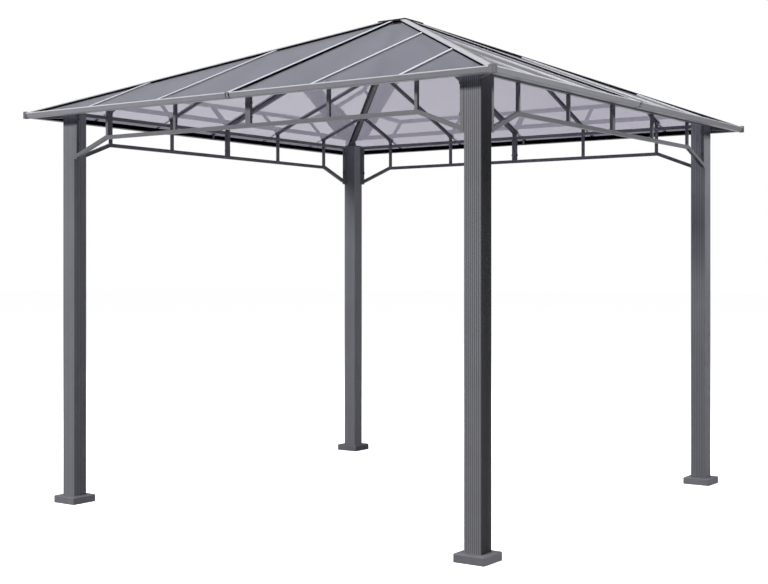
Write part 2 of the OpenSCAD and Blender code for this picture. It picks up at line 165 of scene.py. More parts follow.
class MeshBuilder:
    """Collects simple closed shapes in one mesh, each placed by the current matrix."""

    def __init__(self, place: Matrix = Matrix.Identity(4)) -> None:
        """Starts an empty mesh, whose shapes are turned and moved by the matrix."""
        self.mesh = bmesh.new()
        self.place = place

    def loft(self, rings: list[list[Vector]], smooth: bool = False) -> None:
        """Adds a closed solid through rings of corners, capped at both ends.

        Args:
            rings: The rings, each with as many corners as the others.
            smooth: True if its sides are shaded smooth.
        """
        made = [[self.mesh.verts.new(self.place @ p) for p in ring] for ring in rings]
        count = len(rings[0])
        for near, far in zip(made, made[1:]):
            for i in range(count):
                j = (i + 1) % count
                face = self.mesh.faces.new([near[i], near[j], far[j], far[i]])
                face.smooth = smooth
        self.mesh.faces.new(made[0][::-1])
        self.mesh.faces.new(made[-1])

    def turned_profile(self, centre: Vector, axis: Vector, profile: list[tuple[float, float]],
                       sides: int, smooth: bool = True) -> None:
        """Adds a round or polygonal solid turned about an axis.

        Args:
            centre: Point at height 0 on the axis.
            axis: Direction of the axis.
            profile: Radius and height of each ring, from one end to the other.
            sides: Number of corners of each ring.
            smooth: True if its sides are shaded smooth.
        """
        spin = axis.normalized().to_track_quat("Z", "Y").to_matrix()
        angles = [2 * math.pi * i / sides for i in range(sides)]
        rings = [[centre + spin @ Vector((radius * math.cos(a), radius * math.sin(a), height))
                  for a in angles] for radius, height in profile]
        self.loft(rings, smooth)

    def hex_bolt(self, seat: Vector, axis: Vector, across: float) -> None:
        """Adds a washer with a chamfered hexagon head on it.

        Args:
            seat: Centre of the washer's seat.
            axis: Direction in which the head stands out.
            across: Size of the head across its flats.
        """
        radius = across / math.sqrt(3)
        washer_r = across * 0.72
        washer_t = across * 0.09
        head_t = across * 0.5
        self.turned_profile(seat, axis, [(washer_r, 0), (washer_r, washer_t * 0.7),
                                         (washer_r * 0.94, washer_t)], 24)
        self.turned_profile(seat, axis, [(radius, washer_t), (radius, washer_t + head_t * 0.82),
                                         (radius * 0.86, washer_t + head_t)], 6, smooth=False)

    def bar(self, section: list[tuple[float, float]], start: float, end: float) -> None:
        """Adds a bar that runs along the front.

        Args:
            section: Its corners, each a distance out from the centre and a height.
            start: Place of one end along the side.
            end: Place of its other end.
        """
        self.loft([[Vector((x, -out, z)) for out, z in section] for x in (start, end)])

    def bead(self, start: Vector, end: Vector, wall: Vector, floor: Vector, radius: float,
             seed: float) -> None:
        """Adds a weld bead in the corner between two faces.

        Args:
            start: One end of the corner line.
            end: Other end of the corner line.
            wall: Direction out of the first face.
            floor: Direction out of the second face.
            radius: Leg of the bead.
            seed: Number that sets the bead's ripples.
        """
        length = (end - start).length
        count = max(4, int(length / (radius * 0.9)))
        rings = []
        for i in range(count + 1):
            share = i / count
            point = start.lerp(end, share)
            ripple = 1 + 0.22 * math.sin(i * 2.1 + seed) + 0.1 * noise.noise(point * 90)
            taper = 0.6 if i in (0, count) else 1.0
            leg = radius * ripple * taper
            sink = -0.35 * radius
            crown = 0.62 * leg
            rings.append([point + wall * sink + floor * sink,
                          point + wall * leg + floor * sink,
                          point + wall * crown + floor * crown,
                          point + wall * sink + floor * leg])
        self.loft(rings, smooth=True)

    def slope_prism(self, outline: list[tuple[float, float]], low: float, high: float) -> None:
        """Adds an upright-walled plate on the front slope.

        Args:
            outline: Its corners seen from above.
            low: Its underside's distance above the slope's top face.
            high: Its top's distance above the slope's top face.
        """
        turn = sum(x0 * y1 - x1 * y0 for (x0, y0), (x1, y1)
                   in zip(outline, outline[1:] + outline[:1]))
        points = outline if turn > 0 else outline[::-1]
        ends = [[Vector((x, y, LAYOUT.slope_z(-y, level))) for x, y in points]
                for level in (low, high)]
        self.loft(ends)

    def finish(self, name: str, material: bpy.types.Material) -> None:
        """Turns what was collected into a piece that rides on the gazebo.

        Args:
            name: Name of the piece.
            material: Its material.
        """
        bmesh.ops.recalc_face_normals(self.mesh, faces=self.mesh.faces)
        data = bpy.data.meshes.new(name)
        self.mesh.to_mesh(data)
        self.mesh.free()
        data.materials.append(material)
        piece = bpy.data.objects.new(name, data)
        bpy.context.scene.collection.objects.link(piece)
        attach(piece, BODY)


# ---------------- shader groups


class Graph:
    """Adds and joins the nodes of one material or group."""

    def __init__(self, tree: bpy.types.NodeTree) -> None:
        """Takes the node tree to add to."""
        self.tree = tree

    def node(self, kind: str, **settings: object) -> bpy.types.Node:
        """Adds a node.

        Args:
            kind: Blender's name for the node's type, without ShaderNode.
            **settings: Properties of the node to set.

        Returns:
            The node.
        """
        made = self.tree.nodes.new("ShaderNode" + kind)
        for key, value in settings.items():
            setattr(made, key, value)
        return made

    def feed(self, target: bpy.types.NodeSocket, value: object) -> None:
        """Sets a socket to a number or colour, or links another socket to it."""
        if isinstance(value, bpy.types.NodeSocket):
            self.tree.links.new(value, target)
        else:
            target.default_value = value

    def fill(self, node: bpy.types.Node, **values: object) -> bpy.types.Node:
        """Feeds several inputs of a node.

        Args:
            node: The node.
            **values: Its inputs by name, with _ for a space.

        Returns:
            The same node.
        """
        for key, value in values.items():
            self.feed(node.inputs[key.replace("_", " ")], value)
        return node

    def place(self, kind: str = "Object") -> bpy.types.NodeSocket:
        """Returns the place of the shaded point, in Object or Generated coordinates."""
        return self.node("TexCoord").outputs[kind]

    def facing(self) -> bpy.types.NodeSocket:
        """Returns the direction that the shaded face looks in."""
        return self.node("NewGeometry").outputs["Normal"]

    def math(self, operation: str, first: object, second: object = 0.0,
             clamp: bool = False) -> bpy.types.NodeSocket:
        """Adds a Math node and returns its output."""
        made = self.node("Math", operation=operation, use_clamp=clamp)
        self.feed(made.inputs[0], first)
        self.feed(made.inputs[1], second)
        return made.outputs[0]

    def times(self, first: object, second: object, clamp: bool = False) -> bpy.types.NodeSocket:
        """Returns the product of two values."""
        return self.math("MULTIPLY", first, second, clamp)

    def plus(self, first: object, second: object, clamp: bool = False) -> bpy.types.NodeSocket:
        """Returns the sum of two values."""
        return self.math("ADD", first, second, clamp)

    def minus(self, first: object, second: object) -> bpy.types.NodeSocket:
        """Returns the first value less the second."""
        return self.math("SUBTRACT", first, second)

    def mix(self, factor: object, first: object, second: object) -> bpy.types.NodeSocket:
        """Adds a colour Mix node and returns its output."""
        made = self.node("Mix", data_type="RGBA")
        self.feed(made.inputs[0], factor)
        self.feed(made.inputs[6], first)
        self.feed(made.inputs[7], second)
        return made.outputs[2]

    def blend(self, factor: object, first: bpy.types.Node,
              second: bpy.types.Node) -> bpy.types.Node:
        """Adds a Mix Shader node between two shaders and returns it."""
        made = self.node("MixShader")
        for socket, value in zip(made.inputs, (factor, first.outputs[0], second.outputs[0])):
            self.feed(socket, value)
        return made

    def remap(self, value: object, low: float, high: float, to_low: float = 0.0,
              to_high: float = 1.0) -> bpy.types.NodeSocket:
        """Adds a smooth Map Range node and returns its output."""
        made = self.node("MapRange", interpolation_type="SMOOTHSTEP")
        for socket, number in zip(made.inputs[:5], (value, low, high, to_low, to_high)):
            self.feed(socket, number)
        return made.outputs[0]

    def noise(self, where: bpy.types.NodeSocket, scale: object, detail: float = 3.0,
              stretch: Colour = (1.0, 1.0, 1.0)) -> bpy.types.NodeSocket:
        """Adds a Noise Texture on stretched coordinates and returns its value."""
        mapping = self.fill(self.node("Mapping"), Vector=where, Scale=stretch)
        made = self.node("TexNoise")
        return self.fill(made, Vector=mapping.outputs[0], Scale=scale, Detail=detail).outputs[0]

    def axis(self, vector: bpy.types.NodeSocket, name: str) -> bpy.types.NodeSocket:
        """Returns the X, Y or Z of a vector."""
        return self.fill(self.node("SeparateXYZ"), Vector=vector).outputs[name]

    def brighten(self, colour: object, share: object) -> bpy.types.NodeSocket:
        """Returns a colour with its brightness multiplied by a share."""
        return self.fill(self.node("HueSaturation"), Color=colour, Value=share).outputs[0]

    def relief(self, height: bpy.types.NodeSocket, strength: float,
               distance: float) -> bpy.types.Node:
        """Adds a Bump node and returns it."""
        return self.fill(self.node("Bump"), Height=height, Strength=strength, Distance=distance)

    def group(self, tree: bpy.types.NodeTree, **values: object) -> bpy.types.Node:
        """Adds a shared group, with its inputs by name and _ for a space."""
        return self.fill(self.node("Group", node_tree=tree), **values)


class Effects:
    """Shader groups that more than one material uses, each built once."""

    def __init__(self) -> None:
        """Builds every group."""
        self.coat = self._powder_coat()
        self.dust = self._settled_dust()
        self.rain = self._rain_marks()
        self.edges = self._worn_edges()
        self.moulded = self._moulded_grain()
        self.flutes = self._painted_flute_shading()

    @staticmethod
    def _start(name: str, inputs: dict[str, object], outputs: dict[str, str]
               ) -> tuple[Graph, bpy.types.Node, bpy.types.Node]:
        """Makes an empty group with its sockets.

        Args:
            name: Name of the group.
            inputs: Default value of each input by name; a tuple is a colour.
            outputs: Kind of each output by name: Float, Color or Vector.

        Returns:
            Its graph, its input node and its output node.
        """
        tree = bpy.data.node_groups.new(name, "ShaderNodeTree")
        for key, value in inputs.items():
            kind = "NodeSocketColor" if isinstance(value, tuple) else "NodeSocketFloat"
            socket = tree.interface.new_socket(key, in_out="INPUT", socket_type=kind)
            socket.default_value = value
        for key, kind in outputs.items():
            tree.interface.new_socket(key, in_out="OUTPUT", socket_type="NodeSocket" + kind)
        given = tree.nodes.new("NodeGroupInput")
        made = tree.nodes.new("NodeGroupOutput")
        return Graph(tree), given, made

    def _powder_coat(self) -> bpy.types.NodeTree:
        """Powder coat: faint mottling, the fine relief of the baked coat, uneven gloss."""
        graph, given, made = self._start(
            "powder_coat",
            {"Colour": (0.5, 0.5, 0.5, 1.0), "Variation": 0.1, "Roughness": 0.4, "Grain": 700.0},
            {"Colour": "Color", "Roughness": "Float", "Height": "Float"})
        where = graph.place()
        mottle = graph.minus(graph.noise(where, 5.0, 4.0), 0.5)
        speck = graph.minus(graph.noise(where, 160.0, 2.0), 0.5)
        shade = graph.times(graph.plus(mottle, graph.times(speck, 0.5)), given.outputs["Variation"])
        share = graph.plus(graph.times(shade, 2.0), 1.0)
        uneven = graph.times(mottle, 0.25)
        graph.fill(made, Colour=graph.brighten(given.outputs["Colour"], share),
                   Roughness=graph.plus(given.outputs["Roughness"], uneven, True),
                   Height=graph.noise(where, given.outputs["Grain"], 2.0))
        return graph.tree

    def _settled_dust(self) -> bpy.types.NodeTree:
        """Pale dust that lies on faces that look up, thicker in patches."""
        graph, given, made = self._start(
            "settled_dust",
            {"Colour": (0.5, 0.5, 0.5, 1.0), "Roughness": 0.4, "Amount": 0.2},
            {"Colour": "Color", "Roughness": "Float"})
        where = graph.place()
        upward = graph.remap(graph.axis(graph.facing(), "Z"), 0.35, 0.95)
        patch = graph.remap(graph.noise(where, 9.0, 5.0), 0.3, 0.75)
        mask = graph.times(graph.times(upward, patch), given.outputs["Amount"], True)
        dusty = graph.mix(mask, given.outputs["Colour"], (0.42, 0.40, 0.37, 1.0))
        rough = graph.plus(given.outputs["Roughness"], graph.times(mask, 0.4), True)
        graph.fill(made, Colour=dusty, Roughness=rough)
        return graph.tree

    def _rain_marks(self) -> bpy.types.NodeTree:
        """Long faint runs down a surface and the dried rims of drops."""
        graph, given, made = self._start(
            "rain_marks", {"Streaks": 0.3, "Spots": 0.3, "Spot Scale": 60.0},
            {"Mask": "Float", "Height": "Float"})
        where = graph.place()
        runs = graph.remap(graph.noise(where, 34.0, 3.0, (1.0, 1.0, 0.05)), 0.5, 0.78)
        cells = graph.node("TexVoronoi", feature="F1")
        graph.fill(cells, Vector=where, Scale=given.outputs["Spot Scale"])
        rim = graph.math("COMPARE", cells.outputs["Distance"], 0.3)
        rim.node.inputs[2].default_value = 0.05
        sparse = graph.remap(graph.noise(where, 7.0, 2.0), 0.5, 0.62)
        spots = graph.times(graph.times(rim, sparse), given.outputs["Spots"])
        mask = graph.plus(graph.times(runs, given.outputs["Streaks"]), spots, True)
        graph.fill(made, Mask=mask, Height=graph.noise(where, 3.2, 2.0))
        return graph.tree

    def _worn_edges(self) -> bpy.types.NodeTree:
        """Rounded edges, and a mask of where they are."""
        graph, given, made = self._start(
            "worn_edges", {"Radius": 1.5 * MM}, {"Normal": "Vector", "Mask": "Float"})
        bevel = graph.fill(graph.node("Bevel", samples=4), Radius=given.outputs["Radius"])
        dot = graph.node("VectorMath", operation="DOT_PRODUCT")
        graph.feed(dot.inputs[0], bevel.outputs[0])
        graph.feed(dot.inputs[1], graph.facing())
        graph.fill(made, Normal=bevel.outputs[0],
                   Mask=graph.remap(dot.outputs["Value"], 0.99, 0.8))
        return graph.tree

    def _moulded_grain(self) -> bpy.types.NodeTree:
        """Fine spark-eroded grain of moulded plastic, with scuffs that dull it."""
        graph, given, made = self._start(
            "moulded_grain", {"Colour": (0.2, 0.2, 0.2, 1.0), "Roughness": 0.5, "Grain": 1200.0},
            {"Colour": "Color", "Roughness": "Float", "Height": "Float"})
        where = graph.place()
        broad = graph.noise(where, 14.0, 5.0)
        scuff = graph.remap(graph.noise(where, 70.0, 4.0, (1.0, 1.0, 0.2)), 0.62, 0.75)
        faded = graph.brighten(given.outputs["Colour"], graph.plus(graph.times(broad, 0.3), 0.85))
        graph.fill(made, Colour=graph.mix(graph.times(scuff, 0.12), faded, (0.4, 0.4, 0.4, 1.0)),
                   Roughness=graph.plus(given.outputs["Roughness"], graph.times(scuff, 0.15), True),
                   Height=graph.noise(where, given.outputs["Grain"], 2.0))
        return graph.tree

    def _painted_flute_shading(self) -> bpy.types.NodeTree:
        """Painted shade in the bottoms of a square post's flutes and painted highlight on their
        crests.
        """
        graph, given, made = self._start(
            "painted_flute_shading",
            {"Colour": (0.2, 0.2, 0.2, 1.0), "Amount": 0.3, "Width": 0.09, "Pitch": 0.0105,
             "Half Count": 3.5},
            {"Colour": "Color"})
        place = graph.place("Generated")
        turned = graph.math("ABSOLUTE", graph.axis(graph.facing(), "X"))
        sideways = graph.math("GREATER_THAN", turned, 0.7)
        across = graph.plus(graph.times(graph.axis(place, "Y"), sideways),
                            graph.times(graph.axis(place, "X"), graph.minus(1.0, sideways)))
        reach = graph.math("DIVIDE", given.outputs["Width"], given.outputs["Pitch"])
        step = graph.times(graph.minus(across, 0.5), reach)
        inside = graph.math("LESS_THAN", graph.math("ABSOLUTE", step), given.outputs["Half Count"])
        # painted shade and highlight: the colour is darker at each flute's bottom and lighter at
        # its crest
        wave = graph.times(graph.math("COSINE", graph.times(step, 2 * math.pi)), inside)
        share = graph.minus(1.0, graph.times(wave, given.outputs["Amount"]))
        graph.fill(made, Colour=graph.brighten(given.outputs["Colour"], share))
        return graph.tree


EFFECTS = Effects()


# ---------------- finishes


def new_material(name: str) -> tuple[bpy.types.Material, Graph, bpy.types.Node]:
    """Makes a material that holds one Principled shader.

    Args:
        name: Name of the material.

    Returns:
        The material, its graph and its shader.
    """
    material = bpy.data.materials.new(name)
    material.use_nodes = True
    graph = Graph(material.node_tree)
    material.node_tree.nodes.clear()
    shader = graph.node("BsdfPrincipled")
    graph.fill(graph.node("OutputMaterial"), Surface=shader.outputs[0])
    return material, graph, shader


@dataclass(frozen=True)
class WornFinish:
    """What paint and plastic share: rubbed edges, settled dust and a fine relief."""

    name: str
    colour: Colour
    roughness: float = 0.42
    dust: float = 0.12
    edge_r: float = 1.5 * MM
    edge_light: float = 0.3
    edge_colour: Colour = (0.45, 0.46, 0.48)
    specular: float = 0.1
    grain: float = 700.0
    bump: float = 0.12
    bump_depth: float = 0.15 * MM

    def wear(self, graph: Graph, shader: bpy.types.Node, ground: bpy.types.NodeSocket,
             coat: bpy.types.Node) -> None:
        """Rubs the edges, lays the dust and feeds the shader.

        Args:
            graph: The material's graph.
            shader: Its shader.
            ground: Colour before wear and dust.
            coat: The group that gives the roughness and the relief.
        """
        edges = graph.group(EFFECTS.edges, Radius=self.edge_r)
        rubbed = graph.mix(graph.times(edges.outputs["Mask"], self.edge_light), ground,
                           (*self.edge_colour, 1.0))
        dust = graph.group(EFFECTS.dust, Colour=rubbed, Roughness=coat.outputs["Roughness"],
                           Amount=self.dust)
        bump = graph.relief(coat.outputs["Height"], self.bump, self.bump_depth)
        graph.fill(bump, Normal=edges.outputs["Normal"])
        graph.fill(shader, Base_Color=dust.outputs["Colour"], Roughness=dust.outputs["Roughness"],
                   Normal=bump.outputs[0], Specular_IOR_Level=self.specular)


@dataclass(frozen=True)
class PaintFinish(WornFinish):
    """Powder coat on steel or aluminium."""

    variation: float = 0.1
    streaks: float = 0.15
    # strength of the painted shade in the posts' flute bottoms and the painted highlight on their
    # crests
    flutes: float = 0.0

    def build(self) -> bpy.types.Material:
        """Builds the material."""
        material, graph, shader = new_material(self.name)
        coat = graph.group(EFFECTS.coat, Colour=(*self.colour, 1.0), Variation=self.variation,
                           Roughness=self.roughness, Grain=self.grain)
        rain = graph.group(EFFECTS.rain, Streaks=self.streaks, Spots=self.streaks * 0.6)
        ground = coat.outputs["Colour"]
        # paints shade into the flute bottoms and highlight onto the crests
        if self.flutes:
            ground = graph.group(EFFECTS.flutes, Colour=ground, Amount=self.flutes,
                                 Width=LAYOUT.post_w).outputs["Colour"]
        washed = graph.mix(graph.times(rain.outputs["Mask"], 0.35), ground,
                           (0.36, 0.36, 0.36, 1.0))
        self.wear(graph, shader, washed, coat)
        return material


@dataclass(frozen=True)
class PlasticFinish(WornFinish):
    """Moulded plastic or rubber."""

    roughness: float = 0.5
    dust: float = 0.15
    edge_light: float = 0.1
    edge_colour: Colour = (0.4, 0.4, 0.4)
    specular: float = 0.2
    grain: float = 1200.0
    bump: float = 0.3
    bump_depth: float = 0.1 * MM

    def build(self) -> bpy.types.Material:
        """Builds the material."""
        material, graph, shader = new_material(self.name)
        grain = graph.group(EFFECTS.moulded, Colour=(*self.colour, 1.0), Roughness=self.roughness,
                            Grain=self.grain)
        self.wear(graph, shader, grain.outputs["Colour"], grain)
        return material


@dataclass(frozen=True)
class GlazingFinish:
    """Smoked clear sheet with dust, dried drops and a slight waviness."""

    name: str
    colour: Colour
    roughness: float = 0.04
    ior: float = 1.56
    haze: float = 0.10
    dust: float = 0.05
    wave: float = 0.25
    wave_depth: float = 2 * MM

    def build(self) -> bpy.types.Material:
        """Builds the material, which lets lamps through to what is under it."""
        material, graph, shader = new_material(self.name)
        rain = graph.group(EFFECTS.rain, Streaks=0.5, Spots=0.5, Spot_Scale=45.0)
        marks = rain.outputs["Mask"]
        dusty = graph.mix(graph.times(marks, self.haze), (*self.colour, 1.0),
                          (0.62, 0.62, 0.62, 1.0))
        dust = graph.group(EFFECTS.dust, Colour=dusty, Roughness=self.roughness, Amount=self.dust)
        rough = graph.plus(dust.outputs["Roughness"], graph.times(marks, 0.08), True)
        bump = graph.relief(rain.outputs["Height"], self.wave, self.wave_depth)
        graph.fill(shader, Base_Color=dust.outputs["Colour"], Roughness=rough,
                   Normal=bump.outputs[0], IOR=self.ior, Transmission_Weight=1.0)
        clear = graph.fill(graph.node("BsdfTransparent"), Color=(*self.colour, 1.0))
        either = graph.blend(graph.node("LightPath").outputs["Is Shadow Ray"], shader, clear)
        output = next(n for n in material.node_tree.nodes if n.type == "OUTPUT_MATERIAL")
        graph.fill(output, Surface=either.outputs[0])
        return material


@dataclass(frozen=True)
class HardwareFinish:
    """Plated or blackened bolts."""

    name: str
    colour: Colour
    roughness: float = 0.35
    metallic: float = 0.8

    def build(self) -> bpy.types.Material:
        """Builds the material."""
        material, graph, shader = new_material(self.name)
        coat = graph.group(EFFECTS.coat, Colour=(*self.colour, 1.0), Variation=0.25,
                           Roughness=self.roughness, Grain=1500.0)
        bump = graph.relief(coat.outputs["Height"], 0.1, 0.05 * MM)
        graph.fill(shader, Base_Color=coat.outputs["Colour"], Roughness=coat.outputs["Roughness"],
                   Normal=bump.outputs[0], Metallic=self.metallic)
        return material


# flutes sets the painted shade and highlight across the posts' flutes
POST_PAINT = PaintFinish("post_paint", (0.150, 0.153, 0.170), roughness=0.45, flutes=0.35)
TRUSS_PAINT = PaintFinish("truss_paint", (0.135, 0.137, 0.150), roughness=0.42)
RAFTER_PAINT = PaintFinish("rafter_paint", (0.110, 0.112, 0.124), roughness=0.42)
BRACKET_PAINT = PaintFinish("bracket_steel", (0.040, 0.040, 0.044), roughness=0.5, dust=0.05)
FASCIA_PAINT = PaintFinish("fascia_paint", (0.226, 0.228, 0.250), roughness=0.38, streaks=0.25)
# lighter paint on the lip strips: a painted highlight along the fascias' top edges
LIP_HIGHLIGHT_PAINT = PaintFinish("lip_painted_highlight", (0.500, 0.500, 0.540), roughness=0.34, streaks=0.2)
HIP_PAINT = PaintFinish("hip_trim", (0.340, 0.338, 0.370), roughness=0.34, dust=0.2, streaks=0.3)
JOINT_PAINT = PaintFinish("joint_trim", (0.520, 0.530, 0.580), roughness=0.32, dust=0.2,
                          specular=0.3)
CAP_PLASTIC = PlasticFinish("cap_paint", (0.010, 0.010, 0.012), roughness=0.6, dust=0.02,
                            edge_light=0.03, specular=0.1)
CORNER_PLASTIC = PlasticFinish("corner_plastic", (0.110, 0.110, 0.118), roughness=0.5)
BASE_PLASTIC = PlasticFinish("base_plastic", (0.125, 0.123, 0.140), roughness=0.5, edge_r=2 * MM,
                             edge_light=0.35)
# black rubber for the seals beside the covers; on the eaves the same black is partly painted shade
# in the joint gaps and painted shade on the fascias' inner faces
SEAL_RUBBER_AND_SHADE = PlasticFinish("seal_rubber_and_painted_shade", (0.003, 0.003, 0.004), roughness=0.9, dust=0.0,
                            edge_light=0.0, specular=0.0)
GLAZING = GlazingFinish("panel_glazing", (0.300, 0.292, 0.350))
BLACK_BOLTS = HardwareFinish("black_bolts", (0.05, 0.05, 0.055), metallic=0.4)


def dress(nodes: list[str], material: bpy.types.Material) -> None:
    """Gives CAD nodes a finish.

    Args:
        nodes: Names of the nodes.
        material: The finish.
    """
    for name in nodes:
        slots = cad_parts[name].data.materials
        slots.clear()
        slots.append(material)


# ---------------- sub-assemblies


@dataclass
class Posts:
    """Four fluted posts."""

    def build(self) -> None:
        """Dresses the posts."""
        dress([f"post_{corner.label}" for corner in Corner], POST_PAINT.build())
        LOG.info("posts dressed")


@dataclass
class BaseCovers:
    """Covers round the feet of the posts, with the drain ribs at their lower edges."""

    width: float = 0.160
    rib_w: float = 0.008
    rib_t: float = 1.2 * MM
    rib_h: float = 0.006
    rib_at: tuple[float, ...] = (-0.048, 0.0, 0.048)

    def build(self) -> None:
        """Dresses the covers and adds their ribs."""
        plastic = BASE_PLASTIC.build()
        dress([f"base_{corner.label}" for corner in Corner], plastic)
        for corner in Corner:
            build = MeshBuilder()
            centre = Matrix.Translation((-LAYOUT.post_c, -LAYOUT.post_c, 0))
            for side in Side:
                build.place = corner.turn @ centre @ side.turn
                for along in self.rib_at:
                    self._rib(build, along)
            build.finish(f"base_ribs_{corner.label}", plastic)
            LOG.info("base cover at the %s", corner.label)

    def _rib(self, build: MeshBuilder, along: float) -> None:
        """Adds one rib on the front face of a cover, at a distance from its middle."""
        face = self.width / 2
        rings = []
        for level, shrink in ((0.5 * MM, 0.0), (self.rib_h, 1.0)):
            half = self.rib_w / 2 - shrink * 1.5 * MM
            proud = self.rib_t * (1 - 0.7 * shrink)
            rings.append([Vector((along - half, -face, level)),
                          Vector((along - half * 0.8, -face - proud, level)),
                          Vector((along + half * 0.8, -face - proud, level)),
                          Vector((along + half, -face, level))])
        build.loft(rings)


@dataclass
class Trusses:
    """Eight half trusses, with their weld beads and bolts."""

    height: float = 0.174
    tube: float = 0.020
    upright: float = 0.016
    bead_r: float = 1.8 * MM
    bolt_across: float = 0.013
    end_bolt_heights: tuple[float, float] = (2.113, 1.975)
    middle_bolt_heights: tuple[float, float] = (2.112, 2.042)

    def build(self) -> None:
        """Dresses the trusses and adds what joins them."""
        paint = TRUSS_PAINT.build()
        bolts = BLACK_BOLTS.build()
        for side in Side:
            hands = ("left", "right") if side in (Side.FRONT, Side.BACK) else ("front", "back")
            dress([f"truss_{side.label}_{hand}" for hand in hands], paint)
            self._welds(side, paint)
            self._bolts(side, bolts)
            LOG.info("truss on the %s", side.label)

    @property
    def outer(self) -> float:
        """Distance from the centre to the outer face of the trusses."""
        return LAYOUT.post_c + LAYOUT.post_w / 2

    @property
    def top(self) -> float:
        """Height of the top of the trusses."""
        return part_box("truss_front_left")[1].z

    @property
    def lower_axis(self) -> float:
        """Height of the lower chord's axis."""
        return self.top - self.height + self.tube / 2

    @property
    def foot(self) -> float:
        """Distance from the middle to the end of a truss at its post."""
        return LAYOUT.post_c - LAYOUT.post_w / 2 - LAYOUT.fit

    def _ring(self, build: MeshBuilder, along: float, width: float, level: float,
              up: float, seed: float) -> None:
        """Adds the beads round an upright where it meets a chord.

        Args:
            build: Where the beads go.
            along: Distance of the upright's axis from the middle.
            width: Side of the upright.
            level: Height of the chord's face.
            up: 1 where the chord is below the face, or -1 where it is above.
            seed: Number that sets the ripples.
        """
        axis_y = -self.outer + self.tube / 2
        half = width / 2
        floor = Vector((0, 0, up))
        for sign in (-1, 1):
            x = along + sign * half
            build.bead(Vector((x, axis_y - half, level)), Vector((x, axis_y + half, level)),
                       Vector((sign, 0, 0)), floor, self.bead_r, seed + sign)
            y = axis_y + sign * half
            build.bead(Vector((along - half, y, level)), Vector((along + half, y, level)),
                       Vector((0, sign, 0)), floor, self.bead_r, seed + 3 * sign)

    def _welds(self, side: Side, paint: bpy.types.Material) -> None:
        """Adds a side's weld beads."""
        build = MeshBuilder(side.turn)
        low = self.lower_axis + self.tube / 2
        high = self.top - self.tube
        spots = [LAYOUT.fit + self.upright / 2]
        spots += [i * LAYOUT.bay for i in range(1, LAYOUT.bays + 1)]
        for hand in (-1, 1):
            for i, spot in enumerate(spots):
                self._ring(build, hand * spot, self.upright, low, 1, i + hand)
                self._ring(build, hand * spot, self.upright, high, -1, 2 * i + hand)
        build.finish(f"truss_welds_{side.label}", paint)

    def _bolts(self, side: Side, material: bpy.types.Material) -> None:
        """Adds a side's bolts at the posts and in the middle."""
        build = MeshBuilder(side.turn)
        axis_y = -self.outer + self.tube / 2
        for hand in (-1, 1):
            for height in self.end_bolt_heights:
                build.hex_bolt(Vector((hand * (self.foot - self.tube), axis_y, height)),
                               Vector((-hand, 0, 0)), self.bolt_across)
            for height in self.middle_bolt_heights:
                build.hex_bolt(Vector((hand * (self.upright + LAYOUT.fit), axis_y, height)),
                               Vector((hand, 0, 0)), self.bolt_across * 0.8)
        build.finish(f"truss_bolts_{side.label}", material)


@dataclass
class RoofFrame:
    """Hip rafters, rafters, the hub and the brackets on the posts."""

    hub_bolt: float = 0.024
    cleat_r: float = 0.026
    cleat_t: float = 0.003
    foot_bolt: float = 0.008
    side_w: float = 0.013
    centre_w: float = 0.022
    tube: float = 0.020
    foot_rise: float = 0.005
    inset: float = 3 * MM
    panel_drop: float = 7.2 * MM

    def build(self) -> None:
        """Dresses the frame and adds its bolts and cleats."""
        paint = RAFTER_PAINT.build()
        bolts = BLACK_BOLTS.build()
        dress([f"hip_rafter_{corner.label}" for corner in Corner], paint)
        dress([f"rafters_{side.label}" for side in Side] + ["apex_hub"], paint)
        dress(["post_brackets"], BRACKET_PAINT.build())
        build = MeshBuilder()
        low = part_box("apex_hub")[0].z
        build.hex_bolt(Vector((0, 0, low)), Vector((0, 0, -1)), self.hub_bolt)
        build.finish("hub_bolt", bolts)
        for side in Side:
            self._foot_bolts(side, bolts)
        LOG.info("roof frame")

    def _foot_bolts(self, side: Side, material: bpy.types.Material) -> None:
        """Adds the bolts and cleats beside each rafter's foot on a side's truss."""
        build = MeshBuilder(side.turn)
        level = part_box("truss_front_left")[1].z + self.foot_rise
        axis_y = -(LAYOUT.post_c + LAYOUT.post_w / 2 - self.tube / 2)
        for i in range(-LAYOUT.bays, LAYOUT.bays + 1):
            half = (self.side_w if i else self.centre_w) / 2
            for hand in (-1, 1):
                build.hex_bolt(Vector((i * LAYOUT.bay + hand * half, axis_y, level)),
                               Vector((hand, 0, 0)), self.foot_bolt)
                self._cleat(build, i * LAYOUT.bay, hand, half)
        build.finish(f"rafter_foot_bolts_{side.label}", material)

    def _cleat(self, build: MeshBuilder, along: float, hand: int, half: float) -> None:
        """Adds a small sloping cleat that props a panel joint beside a rafter's foot.

        Args:
            build: Where the cleat goes.
            along: Distance of the rafter from the middle of the side.
            hand: 1 on the rafter's right, or -1 on its left.
            half: Half the width of the rafter.
        """
        outer = LAYOUT.post_c + LAYOUT.post_w / 2 - self.inset
        inner = outer - self.tube + 2 * self.inset
        rings = []
        for out in (outer, inner):
            under = LAYOUT.slope_z(out) - self.panel_drop
            near = along + hand * half
            far = near + hand * self.cleat_r * 0.6
            rings.append([Vector((near, -out, under - self.cleat_r * 0.75)),
                          Vector((far, -out, under - self.cleat_t * 0.4)),
                          Vector((far, -out, under)),
                          Vector((far - hand * self.cleat_t * 1.4, -out, under)),
                          Vector((near, -out, under - self.cleat_r * 0.55))])
        build.loft(rings)


